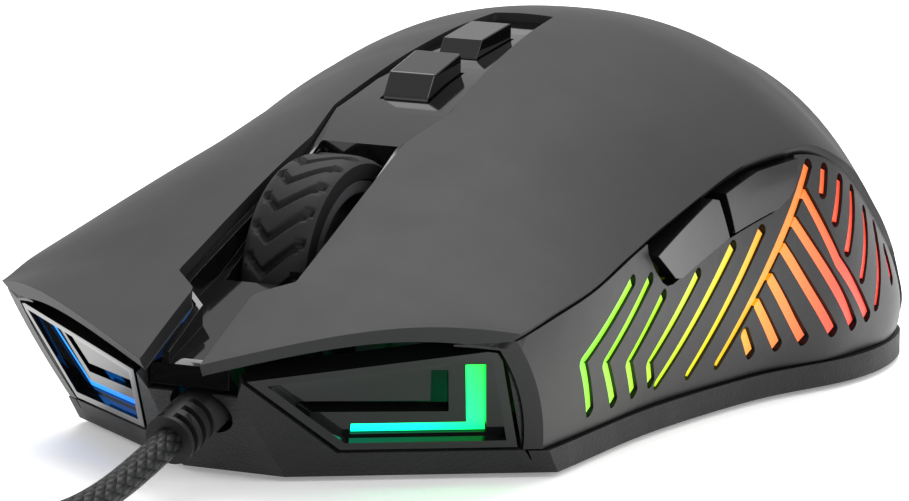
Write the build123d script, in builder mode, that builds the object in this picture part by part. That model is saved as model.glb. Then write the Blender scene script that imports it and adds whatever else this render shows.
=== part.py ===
from build123d import *
import os
from math import asin, atan2, cos, degrees, pi, radians, sin, tan

os.makedirs("parts", exist_ok=True)

# ---------------------------------------------------------------- driving dimensions (mm)
# X points to the thumb side, Y to the palm, Z up.  The skates stand on Z = 0.
body_length = 126.0
body_width = 71.0
body_height = 42.0

skate_height = 0.6
floor_wall = 1.6          # underside plate of the base
seam_height = 3.5         # top of the base rim
seam_gap = 0.2
shell_wall = 1.8          # palm shell and main keys
panel_inset = 0.5         # side panels sit inside the line of the shell
panel_wall = 1.7
panel_gap = 0.9           # dark line between shell and side panel
base_wall = 1.8
key_gap = 0.4             # keys to palm shell
hinge_y = 9.0             # line on which the main keys flex
fit_gap = 0.3             # general clearance between loose neighbours

front_sweep = 36.4        # plan angle of the two front faces
front_undercut = 34.5     # lean of the front faces, foot behind lip
facet_lean = 42.3         # lean of the middle facet with the cord outlet
facet_foot_y = -49.7

wheel_radius = 12.9
wheel_width = 7.6
wheel_y = -29.2
wheel_z = 18.4
hub_radius = 10.4
axle_radius = 1.5
running_clearance = 0.05
wheel_travel = 0.5

board_z = 5.0
board_thickness = 1.2
board_half_width = 20.5
board_front_y = -36.0
board_rear_y = 20.0

button_travel = 0.5
slot_width = 1.5

cord_diameter = 3.1
boot_radius = 2.7
cord_drop = 18.0          # degrees below level at the outlet
outlet = (0.0, -56.0, 8.2)
coil_centre = (-24.0, -117.0)
coil_radius = 17.0        # middle of the turns
coil_columns = 4          # turns side by side
coil_layers = 4           # turns on top of each other

# Outline stations from front to back, drawn on a body 126 long, 71 wide and 42 high:
# place along Y, crown height, crown power, half width and height of the shell's edge,
# half width of the foot.
STATIONS = [
    (-66.0, 12.3, 2.0, 29.9, 15.4, 29.0),
    (-52.0, 19.8, 2.0, 30.1, 17.0, 29.1),
    (-46.0, 22.6, 2.0, 30.8, 17.2, 29.2),
    (-38.0, 26.2, 2.1, 31.6, 18.7, 29.2),
    (-30.0, 29.7, 2.1, 31.9, 20.1, 28.9),
    (-20.0, 33.6, 2.0, 31.3, 22.2, 28.4),
    (-10.0, 37.0, 1.9, 30.5, 24.0, 27.9),
    (0.0, 39.6, 1.9, 30.3, 26.0, 28.2),
    (10.0, 41.2, 2.0, 30.9, 28.1, 29.0),
    (20.0, 41.9, 2.1, 32.5, 28.8, 30.6),
    (30.0, 41.0, 2.2, 33.8, 25.5, 33.4),
    (40.0, 37.9, 2.6, 33.1, 19.1, 34.0),
    (48.0, 34.5, 3.1, 31.7, 13.6, 32.6),
    (54.0, 30.3, 3.2, 29.1, 10.0, 30.2),
    (58.5, 24.4, 3.1, 25.7, 8.0, 26.0),
    (61.5, 16.9, 3.0, 21.0, 6.9, 21.3),
    (63.0, 9.0, 3.0, 15.0, 6.3, 15.3),
]
LENGTH_RATIO = body_length / 126.0
WIDTH_RATIO = body_width / 71.0
HEIGHT_RATIO = body_height / 42.0
FRONT_SHIFT = -63.0 * (LENGTH_RATIO - 1.0)   # how far the nose moves when the body grows
PANEL_REAR_Y = 55.5 * LENGTH_RATIO


def between(y, column):
    """Value of a station column at y, on a smooth curve through the stations."""
    places = [row[0] * LENGTH_RATIO for row in STATIONS]
    values = [row[column] for row in STATIONS]
    y = min(max(y, places[0]), places[-1])
    i = max(k for k in range(len(places) - 1) if places[k] <= y)
    step = places[i + 1] - places[i]
    t = (y - places[i]) / step

    def slope(k):
        if k == 0 or k == len(places) - 1:
            j = min(k, len(places) - 2)
            return (values[j + 1] - values[j]) / (places[j + 1] - places[j])
        left = (values[k] - values[k - 1]) / (places[k] - places[k - 1])
        right = (values[k + 1] - values[k]) / (places[k + 1] - places[k])
        return 0.0 if left * right <= 0 else 2 * left * right / (left + right)

    return (
        (2 * t**3 - 3 * t**2 + 1) * values[i]
        + (t**3 - 2 * t**2 + t) * step * slope(i)
        + (3 * t**2 - 2 * t**3) * values[i + 1]
        + (t**3 - t**2) * step * slope(i + 1)
    )


def crown(y):
    return between(y, 1) * HEIGHT_RATIO


def edge_x(y):
    return between(y, 3) * WIDTH_RATIO


def edge_z(y):
    return between(y, 4) * HEIGHT_RATIO


def foot_x(y):
    return between(y, 5) * WIDTH_RATIO


def skin_z(x, y):
    """Height of the shell's outside over a point inside its edge."""
    share = min(abs(x) / edge_x(y), 1.0) ** between(y, 2)
    return edge_z(y) + (crown(y) - edge_z(y)) * (1 - share)


def flank_x(y, down):
    """Half width of the side, from the edge (down = 0) to the foot (down = 1)."""
    along = min(max((y / LENGTH_RATIO + 40) / 75, 0.0), 1.0)
    power = 1.3 + 0.6 * along
    belly = 0.3 + 1.4 * along if y < 35 * LENGTH_RATIO else 1.7 - 0.034 * (y - 35 * LENGTH_RATIO)
    return edge_x(y) + (foot_x(y) - edge_x(y)) * down**power + belly * sin(pi * down)


def body_form(inset):
    """The whole outer form as one solid, with every side drawn in by inset."""
    low_z = seam_height - 1.5
    count = 18
    rear_y = STATIONS[-1][0] * LENGTH_RATIO - max(inset, 0.0)
    front_y = STATIONS[0][0] * LENGTH_RATIO
    with BuildPart() as form:
        for k in range(count + 1):
            share = sin(pi / 2 * k / count) ** 1.15
            y = front_y + (rear_y - front_y) * share
            top = []
            for step in (-1.0, -0.92, -0.75, -0.45, 0.0, 0.45, 0.75, 0.92, 1.0):
                x = step * edge_x(y)
                top.append((step * (edge_x(y) - inset), skin_z(x, y) - inset))
            side = []
            for down in (0.3, 0.65, 1.0):
                z = edge_z(y) - inset + (seam_height - edge_z(y) + inset) * down
                side.append((flank_x(y, down) - inset, z))
            right_side = [top[-1]] + side
            left_side = [top[0]] + [(-x, z) for x, z in side]
            foot = side[-1][0]
            with BuildSketch(Plane.XZ.offset(-y)):
                with BuildLine():
                    Spline(*top)
                    Spline(*right_side)
                    Polyline((foot, seam_height), (foot, low_z), (-foot, low_z), (-foot, seam_height))
                    Spline(*left_side[::-1])
                make_face()
        loft()
    return form.part


outer_form = body_form(0.0)
shell_inner_form = body_form(shell_wall)
panel_outer_form = body_form(panel_inset)
panel_inner_form = body_form(panel_inset + panel_wall)

# ---------------------------------------------------------------- planes of the nose
sweep_angle = radians(front_sweep)
undercut = radians(front_undercut)
front_left_plane = Plane(
    origin=(18.8, -45.6 + FRONT_SHIFT, 7.5),
    x_dir=(cos(sweep_angle), sin(sweep_angle), 0),
    z_dir=(sin(sweep_angle) * cos(undercut), -cos(sweep_angle) * cos(undercut), -sin(undercut)),
)
lean = radians(facet_lean)
facet_plane = Plane(
    origin=(0, facet_foot_y + FRONT_SHIFT, 1.2),
    x_dir=(1, 0, 0),
    z_dir=(0, -cos(lean), -sin(lean)),
)
with BuildPart() as nose_cutter:
    with BuildSketch(front_left_plane):
        Rectangle(240, 160)
    extrude(amount=60)
    mirror(about=Plane.YZ)
with BuildPart() as facet_cutter:
    with BuildSketch(facet_plane):
        Rectangle(120, 120)
    extrude(amount=40)


# ---------------------------------------------------------------- side view and plan regions
def gap_line(shift):
    """Points of the shell's lower edge in side view, moved up by shift."""
    places = [y * LENGTH_RATIO for y in (-66, -52, -46, -38, -30, -20, -10, 0, 10, 17, 24, 31, 38, 44, 50)]
    points = [(y, edge_z(y) + shift) for y in places]
    return points + [(PANEL_REAR_Y, seam_height + 1.0 + shift)]


half_reach = 60.0
side_start_x = 25.0
with BuildPart() as shell_side_cutter:
    with BuildSketch(Plane.YZ.offset(side_start_x)):
        with BuildLine():
            line = gap_line(0.0)
            Spline(*line)
            Polyline(line[-1], (PANEL_REAR_Y, -10), (-90, -10), (-90, line[0][1]), line[0])
        make_face()
    extrude(amount=half_reach)
    mirror(about=Plane.YZ)
with BuildPart() as below_gap:
    with BuildSketch(Plane.YZ.offset(side_start_x)):
        with BuildLine():
            line = gap_line(-panel_gap)
            Spline(*line)
            Polyline(line[-1], (PANEL_REAR_Y - fit_gap, seam_height), (-90, seam_height), (-90, line[0][1]), line[0])
        make_face()
    extrude(amount=half_reach)

# Half widths of the opening for the middle spine, front to back.
SPINE_HALF_WIDTHS = [
    (-70.0, 3.5),
    (-51.7, 3.5),
    (-48.8, 7.0),
    (-40.0, 6.6),
    (-30.0, 6.1),
    (-23.0, 5.6),
    (-15.5, 7.0),
    (-8.0, 6.2),
    (0.0, 5.4),
    (8.0, 4.6),
    (15.8, 3.7),
]


def spine_outline(inset):
    """Closed plan outline of the spine opening, drawn in by inset."""
    right = [(w - inset, y) for y, w in SPINE_HALF_WIDTHS]
    right[-1] = (right[-1][0], right[-1][1] - inset)
    return right + [(-x, y) for x, y in right[::-1]]


with BuildPart() as spine_opening:
    with BuildSketch(Plane.XY.offset(-5)):
        with BuildLine():
            Polyline(*spine_outline(0.0), close=True)
        make_face()
    extrude(amount=80)

# ---------------------------------------------------------------- top shell and main keys
with BuildPart() as top_skin:
    add(outer_form)
    add(shell_inner_form, mode=Mode.SUBTRACT)
    add(shell_side_cutter.part, mode=Mode.SUBTRACT)
    add(spine_opening.part, mode=Mode.SUBTRACT)
    add(nose_cutter.part, mode=Mode.SUBTRACT)
    with Locations((0, 0, seam_height)):
        Box(200, 300, 20, align=(Align.CENTER, Align.CENTER, Align.MAX), mode=Mode.SUBTRACT)

POST_PLACES = [(23.0, 26.0), (-23.0, 26.0), (17.0, 43.0), (-17.0, 43.0)]
post_radius = 3.0
post_foot_z = 6.0
screw_radius = 1.1
with BuildPart() as post_blanks:
    with BuildSketch(Plane.XY.offset(post_foot_z)):
        with Locations(*POST_PLACES):
            Circle(post_radius)
    extrude(amount=60)
    add(body_form(shell_wall * 0.6), mode=Mode.INTERSECT)
with BuildPart() as palm_shell:
    add(top_skin.part)
    with BuildSketch(Plane.XY.offset(-5)):
        with Locations((0, hinge_y + key_gap / 2)):
            Rectangle(120, 120, align=(Align.CENTER, Align.MIN))
    extrude(amount=80, mode=Mode.INTERSECT)
    add(post_blanks.part)
    with Locations(*[(x, y, post_foot_z) for x, y in POST_PLACES]):
        Cylinder(
            screw_radius + running_clearance,
            8,
            align=(Align.CENTER, Align.CENTER, Align.MIN),
            mode=Mode.SUBTRACT,
        )
palm_shell.part.label = "palm_shell"
export_step(palm_shell.part, "parts/palm_shell.step")

switch_x = 16.8
switch_y = -29.0
switch_size = (5.8, 12.8, 6.5)
board_top_z = board_z + board_thickness
switch_top_z = board_top_z + switch_size[2]
nub_rise = 0.8
rib_foot_z = switch_top_z + nub_rise + fit_gap
with BuildPart() as key_rib:
    with BuildSketch(Plane.XY.offset(rib_foot_z)):
        with Locations((switch_x, switch_y)):
            Rectangle(3.0, 4.0)
    extrude(amount=30)
    add(body_form(shell_wall * 0.6), mode=Mode.INTERSECT)
with BuildPart() as left_key:
    add(top_skin.part)
    with BuildSketch(Plane.XY.offset(-5)):
        with Locations((0, hinge_y - key_gap / 2)):
            Rectangle(120, 160, align=(Align.MIN, Align.MAX))
    extrude(amount=80, mode=Mode.INTERSECT)
    add(key_rib.part)
left_key.part.label = "left_key"
export_step(left_key.part, "parts/left_key.step")

with BuildPart() as right_key:
    add(mirror(left_key.part, about=Plane.YZ))
right_key.part.label = "right_key"
export_step(right_key.part, "parts/right_key.step")

# ---------------------------------------------------------------- side panels
SLOTS = [  # upper end, bend, lower end of each light slot, as (y, z) in side view
    [(-18.9, 19.0), (-30.4, 12.1), (-24.9, 5.9)],
    [(-13.9, 18.5), (-24.1, 11.0), (-18.4, 5.8)],
    [(-10.0, 16.1), (-17.1, 9.9), (-13.0, 5.9)],
    [(-1.5, 17.2), (-10.8, 8.8), (-8.9, 6.4)],
    [(6.3, 19.2), (-7.0, 5.9)],
    [(12.2, 20.2), (0.5, 5.8)],
    [(21.6, 26.4), (6.8, 6.0)],
    [(11.2, 8.8), (13.6, 6.2)],
    [(12.7, 12.0), (18.6, 6.4)],
    [(14.6, 14.6), (23.0, 6.5)],
    [(16.5, 17.8), (27.7, 6.9)],
    [(18.4, 20.5), (31.7, 7.1)],
    [(20.5, 23.4), (26.8, 15.0), (35.1, 7.6)],
    [(24.8, 25.6), (23.9, 23.1)],
    [(28.1, 24.0), (26.1, 19.7)],
    [(31.2, 22.4), (28.6, 16.0)],
    [(34.6, 19.6), (32.4, 12.4)],
    [(38.3, 17.4), (37.4, 8.5)],
    [(41.8, 14.2), (43.2, 10.6)],
]
RECESS = [
    (-14.8, 24.0), (-14.4, 21.2), (-12.4, 19.0), (-10.6, 17.6), (-9.2, 17.0), (-7.6, 17.0),
    (-2.0, 18.3), (5.2, 20.1), (14.3, 21.9), (16.6, 23.0), (18.1, 24.6), (19.2, 27.0), (19.2, 32.0),
    (2.0, 32.0),
]
FRONT_BUTTON = [(-13.9, 21.0), (-9.0, 17.9), (-7.4, 17.6), (4.0, 20.5), (2.0, 24.9), (0.6, 25.2)]
REAR_BUTTON = [(3.6, 25.4), (5.2, 20.9), (14.0, 22.5), (16.2, 23.5), (17.6, 24.9), (18.5, 27.6), (10.5, 27.0)]


def prism_along_x(points, reach=half_reach):
    """Solid with a side-view outline, from the middle plane out to the thumb side."""
    with BuildPart() as prism:
        with BuildSketch(Plane.YZ.offset(10)):
            with BuildLine():
                Polyline(*points, close=True)
            make_face()
        extrude(amount=reach)
    return prism.part


def slot_cutters(slots):
    """Solid that cuts every light slot of one panel."""
    with BuildPart() as cutter:
        with BuildSketch(Plane.YZ.offset(10)):
            for run in slots:
                for start, stop in zip(run[:-1], run[1:]):
                    length = ((stop[0] - start[0]) ** 2 + (stop[1] - start[1]) ** 2) ** 0.5
                    middle = ((start[0] + stop[0]) / 2, (start[1] + stop[1]) / 2)
                    turn = degrees(atan2(stop[1] - start[1], stop[0] - start[0]))
                    with Locations(Location((middle[0], middle[1], 0), (0, 0, turn))):
                        SlotCenterToCenter(length, slot_width)
        extrude(amount=half_reach)
    return cutter.part


slot_tool = slot_cutters(SLOTS)
with BuildPart() as plain_panel:
    add(panel_outer_form)
    add(panel_inner_form, mode=Mode.SUBTRACT)
    add(below_gap.part, mode=Mode.INTERSECT)
    add(nose_cutter.part, mode=Mode.SUBTRACT)
    add(slot_tool, mode=Mode.SUBTRACT)
with BuildPart() as side_panel_left:
    add(plain_panel.part)
    add(prism_along_x(RECESS), mode=Mode.SUBTRACT)
side_panel_left.part.label = "side_panel_left"
export_step(side_panel_left.part, "parts/side_panel_left.step")

with BuildPart() as side_panel_right:
    add(mirror(plain_panel.part, about=Plane.YZ))
side_panel_right.part.label = "side_panel_right"
export_step(side_panel_right.part, "parts/side_panel_right.step")

# ---------------------------------------------------------------- thumb buttons
button_outer_form = body_form(-0.4)
button_inner_form = body_form(2.9)
side_board_x = 21.8
side_board_face = side_board_x + board_thickness
side_switch_depth = 2.4
SIDE_SWITCHES = [(-5.5, 20.4), (10.8, 23.6)]
for name, outline, place in (
    ("side_button_front", FRONT_BUTTON, SIDE_SWITCHES[0]),
    ("side_button_rear", REAR_BUTTON, SIDE_SWITCHES[1]),
):
    with BuildPart() as side_button:
        add(button_outer_form)
        add(button_inner_form, mode=Mode.SUBTRACT)
        add(prism_along_x(outline), mode=Mode.INTERSECT)
    with BuildPart() as stem:
        with BuildSketch(Plane.YZ.offset(side_board_face + side_switch_depth + fit_gap + button_travel)):
            with Locations(place):
                Circle(1.1)
        extrude(amount=10)
        add(body_form(1.5), mode=Mode.INTERSECT)
    with BuildPart() as finished_button:
        add(side_button.part)
        add(stem.part)
    finished_button.part.label = name
    export_step(finished_button.part, f"parts/{name}.step")

# ---------------------------------------------------------------- base
base_foot_z = skate_height
floor_top_z = base_foot_z + floor_wall
rim_top_z = seam_height - seam_gap


def plan_outline(inset):
    """Points of the base rim from the nose round the tail, on the positive side."""
    places = (-66, -46, -30, -10, 0, 10, 20, 30, 40, 48, 54, 58.5, 61.5)
    points = [(foot_x(y * LENGTH_RATIO) - inset, y * LENGTH_RATIO) for y in places]
    return points + [(8.0, 63.0 * LENGTH_RATIO - inset)]


def base_block(inset, low, high):
    """Block with the plan outline of the base, drawn in by inset."""
    right = plan_outline(inset)
    left = [(-x, y) for x, y in right]
    with BuildPart() as block:
        with BuildSketch(Plane.XY.offset(low)):
            with BuildLine():
                Spline(*right)
                Line(right[-1], left[-1])
                Spline(*left[::-1])
                Line(left[0], right[0])
            make_face()
        extrude(amount=high - low)
    return block.part


BEZEL_OUTLINE = [(-17.4, 5.6), (8.3, 9.6), (11.5, -4.5), (-7.0, -4.5)]
BEZEL_POST = [(8.75, 9.3), (13.5, 9.0), (17.0, -5.2), (12.0, -5.2), (11.95, -4.5)]
BASE_FACET = [(-18.2, 3.4), (-17.9, 5.4), (-7.3, -5.0), (12.3, -5.0), (14.2, -8.4), (-13.0, -8.4)]
LIT_SLOT = [(-6.0, -3.2), (8.2, -3.2), (7.2, 6.6), (5.1, 6.6), (6.0, -1.7), (-6.0, -1.7)]
DARK_SLOT = [(-11.9, 1.7), (-10.2, 0.1), (4.0, -0.1), (3.4, 5.9), (1.6, 5.9), (1.95, 1.5)]
bezel_recess = 1.0
bezel_wall = 1.4
outlet_hole_radius = 3.4
cord_lean = radians(cord_drop)
outlet_plane = Plane(origin=outlet, x_dir=(1, 0, 0), z_dir=(0, -cos(cord_lean), -sin(cord_lean)))

bezel_limit = body_form(panel_inset + panel_wall + fit_gap)
with BuildPart() as bezel_post:
    with BuildSketch(front_left_plane):
        with BuildLine():
            Polyline(*BEZEL_POST, close=True)
        make_face()
    extrude(amount=-base_wall)
    add(bezel_limit, mode=Mode.INTERSECT)
with BuildPart() as facet_wall:
    with BuildSketch(front_left_plane):
        with BuildLine():
            Polyline(*BASE_FACET, close=True)
        make_face()
    extrude(amount=-base_wall)
    add(bezel_post.part)
    mirror(about=Plane.YZ)
    with BuildSketch(facet_plane):
        with Locations((0, -1.0)):
            Rectangle(12.4, 13.2, align=(Align.CENTER, Align.MIN))
    extrude(amount=-base_wall)
    add(nose_cutter.part, mode=Mode.SUBTRACT)
    add(facet_cutter.part, mode=Mode.SUBTRACT)
    with Locations((0, -55, 10.4)):
        Box(10.6, 20, 10, align=(Align.CENTER, Align.CENTER, Align.MIN), mode=Mode.SUBTRACT)
    with Locations((0, -55, floor_top_z - 0.4)):
        Box(100, 80, 10, align=(Align.CENTER, Align.CENTER, Align.MAX), mode=Mode.SUBTRACT)

board_posts = [(15.5, -17.0), (-15.5, -17.0), (15.5, 16.5), (-15.5, 16.5)]
board_post_radius = 2.4
board_screw_radius = 0.9
lens_place = (0.0, 2.0)
lens_hole = (7.0, 9.0)
screw_head_radius = 2.2
screw_head_height = 1.2
tray_hollow = base_block(base_wall, floor_top_z, rim_top_z + 5)
boss_radius = 3.8
with BuildPart() as base_shell:
    add(base_block(0.0, base_foot_z, rim_top_z))
    add(nose_cutter.part, mode=Mode.SUBTRACT)
    add(facet_cutter.part, mode=Mode.SUBTRACT)
    add(tray_hollow, mode=Mode.SUBTRACT)
    add(facet_wall.part)
    with BuildSketch(Plane.XY.offset(floor_top_z - 0.2)):
        with Locations(*board_posts):
            Circle(board_post_radius)
    extrude(amount=board_z - floor_top_z + 0.2)
    with BuildSketch(Plane.XY.offset(floor_top_z - 0.2)):
        with Locations(*POST_PLACES):
            Circle(boss_radius)
    extrude(amount=post_foot_z - floor_top_z)
    for x_side in (side_board_x, -side_board_x):
        for y in (-9.0, 14.0):
            with Locations((x_side - (0.6 if x_side > 0 else -0.6), y, floor_top_z - 0.2)):
                Box(1.2, 3.0, 18.0 if x_side > 0 else 6.0, align=(Align.CENTER, Align.CENTER, Align.MIN))
    with Locations(*[(x, y, base_foot_z) for x, y in POST_PLACES]):
        Cylinder(
            screw_head_radius + fit_gap,
            floor_wall,
            align=(Align.CENTER, Align.CENTER, Align.MIN),
            mode=Mode.SUBTRACT,
        )
        Cylinder(
            screw_radius + 0.15,
            10,
            align=(Align.CENTER, Align.CENTER, Align.MIN),
            mode=Mode.SUBTRACT,
        )
    with Locations(*[(x, y, floor_top_z) for x, y in board_posts]):
        Cylinder(
            board_screw_radius + running_clearance,
            10,
            align=(Align.CENTER, Align.CENTER, Align.MIN),
            mode=Mode.SUBTRACT,
        )
    with Locations((*lens_place, base_foot_z)):
        Box(*lens_hole, 5, align=(Align.CENTER, Align.CENTER, Align.MIN), mode=Mode.SUBTRACT)
    with BuildSketch(outlet_plane):
        Circle(outlet_hole_radius)
    extrude(amount=20, both=True, mode=Mode.SUBTRACT)
base_shell.part.label = "base_shell"
export_step(base_shell.part, "parts/base_shell.step")

# ---------------------------------------------------------------- lamp faces of the nose
with BuildPart() as bezel_left:
    with BuildSketch(front_left_plane.offset(-bezel_recess)):
        with BuildLine():
            Polyline(*BEZEL_OUTLINE, close=True)
        make_face()
    extrude(amount=-bezel_wall)
    with BuildSketch(front_left_plane):
        with BuildLine():
            Polyline(*BEZEL_OUTLINE, close=True)
        make_face()
        offset(amount=-1.0, mode=Mode.SUBTRACT)
    extrude(amount=-bezel_recess - 0.2)
    with BuildSketch(front_left_plane):
        for slot in (LIT_SLOT, DARK_SLOT):
            with BuildLine():
                Polyline(*slot, close=True)
            make_face()
    extrude(amount=-6, mode=Mode.SUBTRACT)
    add(bezel_limit, mode=Mode.INTERSECT)
with BuildPart() as guide_left:
    with BuildSketch(front_left_plane.offset(-bezel_recess - 0.3)):
        with BuildLine():
            Polyline(*LIT_SLOT, close=True)
        make_face()
        offset(amount=-0.12, kind=Kind.INTERSECTION, mode=Mode.REPLACE)
    extrude(amount=-2.6)
for side, flip in (("left", False), ("right", True)):
    for name, source in (("front_bezel", bezel_left), ("front_light_guide", guide_left)):
        with BuildPart() as piece:
            if flip:
                add(mirror(source.part, about=Plane.YZ))
            else:
                add(source.part)
        piece.part.label = f"{name}_{side}"
        export_step(piece.part, f"parts/{name}_{side}.step")

# ---------------------------------------------------------------- side light diffusers
with BuildPart() as diffuser_left:
    add(body_form(panel_inset + panel_wall + 0.2))
    add(body_form(panel_inset + panel_wall + 1.2), mode=Mode.SUBTRACT)
    add(below_gap.part, mode=Mode.INTERSECT)
    with Locations((0, 3.0, seam_height + 1.0)):
        Box(120, 72, 40, align=(Align.CENTER, Align.CENTER, Align.MIN), mode=Mode.INTERSECT)
with BuildPart() as diffuser_recess:
    with BuildSketch(Plane.YZ.offset(10)):
        with BuildLine():
            Polyline(*RECESS, close=True)
        make_face()
        offset(amount=0.4)
    extrude(amount=half_reach)
with BuildPart() as side_diffuser_left:
    add(diffuser_left.part)
    add(diffuser_recess.part, mode=Mode.SUBTRACT)
side_diffuser_left.part.label = "side_diffuser_left"
export_step(side_diffuser_left.part, "parts/side_diffuser_left.step")
with BuildPart() as side_diffuser_right:
    add(mirror(diffuser_left.part, about=Plane.YZ))
side_diffuser_right.part.label = "side_diffuser_right"
export_step(side_diffuser_right.part, "parts/side_diffuser_right.step")

# ---------------------------------------------------------------- middle spine
wheel_slot_half = 4.6
wheel_slot_front_y = -43.3
wheel_slot_rear_y = -22.5
spine_wall = 1.8
SPINE_TOP = [
    (-58.5, 13.2), (-57.6, 13.7), (-43.0, 19.6), (-23.0, 31.5),
    (-15.6, 34.2), (-8.0, 36.6), (0.0, 38.5), (10.0, 40.1), (15.8, 40.8),
]
FRONT_DPI = (2.8, -12.4, -4.6)    # half width, front and rear ends of the button
REAR_DPI = (2.4, -0.4, 8.0)
dpi_gap = 0.25
dpi_board_z = 28.0
dpi_switch_height = 2.5
dpi_travel = 0.5
spine_post_places = [(4.0, -2.5), (-4.0, -2.5)]
spine_under = [(y, z - spine_wall) for y, z in SPINE_TOP]

with BuildPart() as spine_band:
    with BuildSketch(Plane.YZ.offset(-10)):
        with BuildLine():
            Polyline(*SPINE_TOP, *spine_under[::-1], close=True)
        make_face()
    extrude(amount=20)
with BuildPart() as spine_cover:
    add(spine_band.part)
    with BuildSketch(Plane.XY.offset(-5)):
        with BuildLine():
            Polyline(*spine_outline(fit_gap), close=True)
        make_face()
    extrude(amount=80, mode=Mode.INTERSECT)
    with BuildSketch(Plane.YZ.offset(-wheel_slot_half)):
        with BuildLine():
            Polyline((-58.5, 13.2), (-58.5, 11.0), (-57.2, 11.0), (-55.0, 11.75), (-55.0, 13.4), (-57.6, 13.2), close=True)
        make_face()
    extrude(amount=2 * wheel_slot_half)
    with Locations((0, (wheel_slot_front_y + wheel_slot_rear_y) / 2, 0)):
        Box(
            2 * wheel_slot_half,
            wheel_slot_rear_y - wheel_slot_front_y,
            80,
            align=(Align.CENTER, Align.CENTER, Align.MIN),
            mode=Mode.SUBTRACT,
        )
    for half, front_y, rear_y in (FRONT_DPI, REAR_DPI):
        with Locations((0, (front_y + rear_y) / 2, 30)):
            Box(
                2 * (half + dpi_gap),
                rear_y - front_y + 2 * dpi_gap,
                30,
                align=(Align.CENTER, Align.CENTER, Align.MIN),
                mode=Mode.SUBTRACT,
            )
well_wall = 1.0
with BuildPart() as wheel_well:
    with BuildSketch(Plane.YZ.offset(wheel_slot_half)):
        with BuildLine():
            Polyline(
                (-43.3, 18.3), (-23.0, 30.2), (-22.5, 30.2), (-22.5, 21.2), (-36.2, 21.2),
                (-38.5, 14.0), (-43.3, 13.0), close=True,
            )
        make_face()
    extrude(amount=well_wall)
    mirror(about=Plane.YZ)
    with Locations((0, wheel_slot_front_y, 13.0)):
        Box(2 * wheel_slot_half + 2 * well_wall, well_wall, 6.0, align=(Align.CENTER, Align.MAX, Align.MIN))
KERB_TOP = [(-58.5, 14.4), (-52.0, 18.1), (-46.0, 21.0), (-38.0, 24.6), (-30.0, 28.1), (-22.6, 31.0)]
with BuildPart() as spine_kerbs:
    with BuildSketch(Plane.YZ.offset(-10)):
        with BuildLine():
            Polyline(*KERB_TOP, (-22.6, 29.9), (-43.0, 17.8), (-58.5, 11.4), close=True)
        make_face()
    extrude(amount=20)
    with BuildSketch(Plane.XY.offset(-5)):
        with BuildLine():
            Polyline(*spine_outline(fit_gap), close=True)
        make_face()
    extrude(amount=80, mode=Mode.INTERSECT)
    with BuildSketch(Plane.XY.offset(-5)):
        with BuildLine():
            Polyline(*spine_outline(fit_gap + 0.8), close=True)
        make_face()
    extrude(amount=80, mode=Mode.SUBTRACT)
    with Locations((0, wheel_slot_rear_y, 0)):
        Box(30, 20, 80, align=(Align.CENTER, Align.MIN, Align.MIN), mode=Mode.SUBTRACT)
with BuildPart() as spine_posts:
    with BuildSketch(Plane.XY.offset(dpi_board_z + board_thickness)):
        with Locations(*spine_post_places):
            Circle(1.1)
    extrude(amount=8.2)
with BuildPart() as spine_with_posts:
    add(spine_cover.part)
    add(spine_posts.part)
    add(wheel_well.part)
    add(spine_kerbs.part)
spine_with_posts.part.label = "spine_cover"
export_step(spine_with_posts.part, "parts/spine_cover.step")

with BuildPart() as dpi_board:
    with BuildSketch(Plane.XY.offset(dpi_board_z)):
        with Locations((0, -2)):
            RectangleRounded(11.0, 28.0, 1.0)
    extrude(amount=board_thickness)
dpi_board.part.label = "dpi_board"
export_step(dpi_board.part, "parts/dpi_board.step")

dpi_switch_foot_z = dpi_board_z + board_thickness
DPI_SWITCH_PLACES = [(0.0, -8.5), (0.0, 3.8)]
with BuildPart() as dpi_switches:
    with BuildSketch(Plane.XY.offset(dpi_switch_foot_z)):
        with Locations(*DPI_SWITCH_PLACES):
            Rectangle(4.5, 4.5)
    extrude(amount=dpi_switch_height - 0.8)
    with BuildSketch(Plane.XY.offset(dpi_switch_foot_z)):
        with Locations(*DPI_SWITCH_PLACES):
            Circle(1.1)
    extrude(amount=dpi_switch_height)
dpi_switches.part.label = "dpi_switches"
export_step(dpi_switches.part, "parts/dpi_switches.step")

stem_foot_z = dpi_switch_foot_z + dpi_switch_height + fit_gap + dpi_travel
for name, (half, front_y, rear_y), switch_place, profile in (
    (
        "dpi_button_front", FRONT_DPI, DPI_SWITCH_PLACES[0],
        [(-12.4, 33.4), (-12.4, 35.6), (-10.9, 38.0), (-4.9, 39.7), (-4.6, 39.3), (-4.6, 33.4)],
    ),
    (
        "dpi_button_rear", REAR_DPI, DPI_SWITCH_PLACES[1],
        [(-0.4, 36.2), (-0.4, 38.5), (1.0, 40.5), (7.6, 41.6), (8.0, 41.2), (8.0, 36.2)],
    ),
):
    with BuildPart() as dpi_button:
        with BuildSketch(Plane.YZ.offset(-half)):
            with BuildLine():
                Polyline(*profile, close=True)
            make_face()
        extrude(amount=2 * half)
        with BuildSketch(Plane.XY.offset(stem_foot_z)):
            with Locations(switch_place):
                Circle(1.0)
        extrude(amount=profile[0][1] + 0.5 - stem_foot_z)
    dpi_button.part.label = name
    export_step(dpi_button.part, f"parts/{name}.step")

# ---------------------------------------------------------------- wheel
axle_plane = Plane(origin=(0, wheel_y, wheel_z), x_dir=(0, 1, 0), z_dir=(1, 0, 0))


def disc_along_axle(radius, start, stop, hole=0.0):
    """Disc or ring about the wheel's axis between two places along X."""
    with BuildPart() as disc:
        with BuildSketch(axle_plane.offset(start)):
            Circle(radius)
            if hole:
                Circle(hole, mode=Mode.SUBTRACT)
        extrude(amount=stop - start)
    return disc.part


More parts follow.
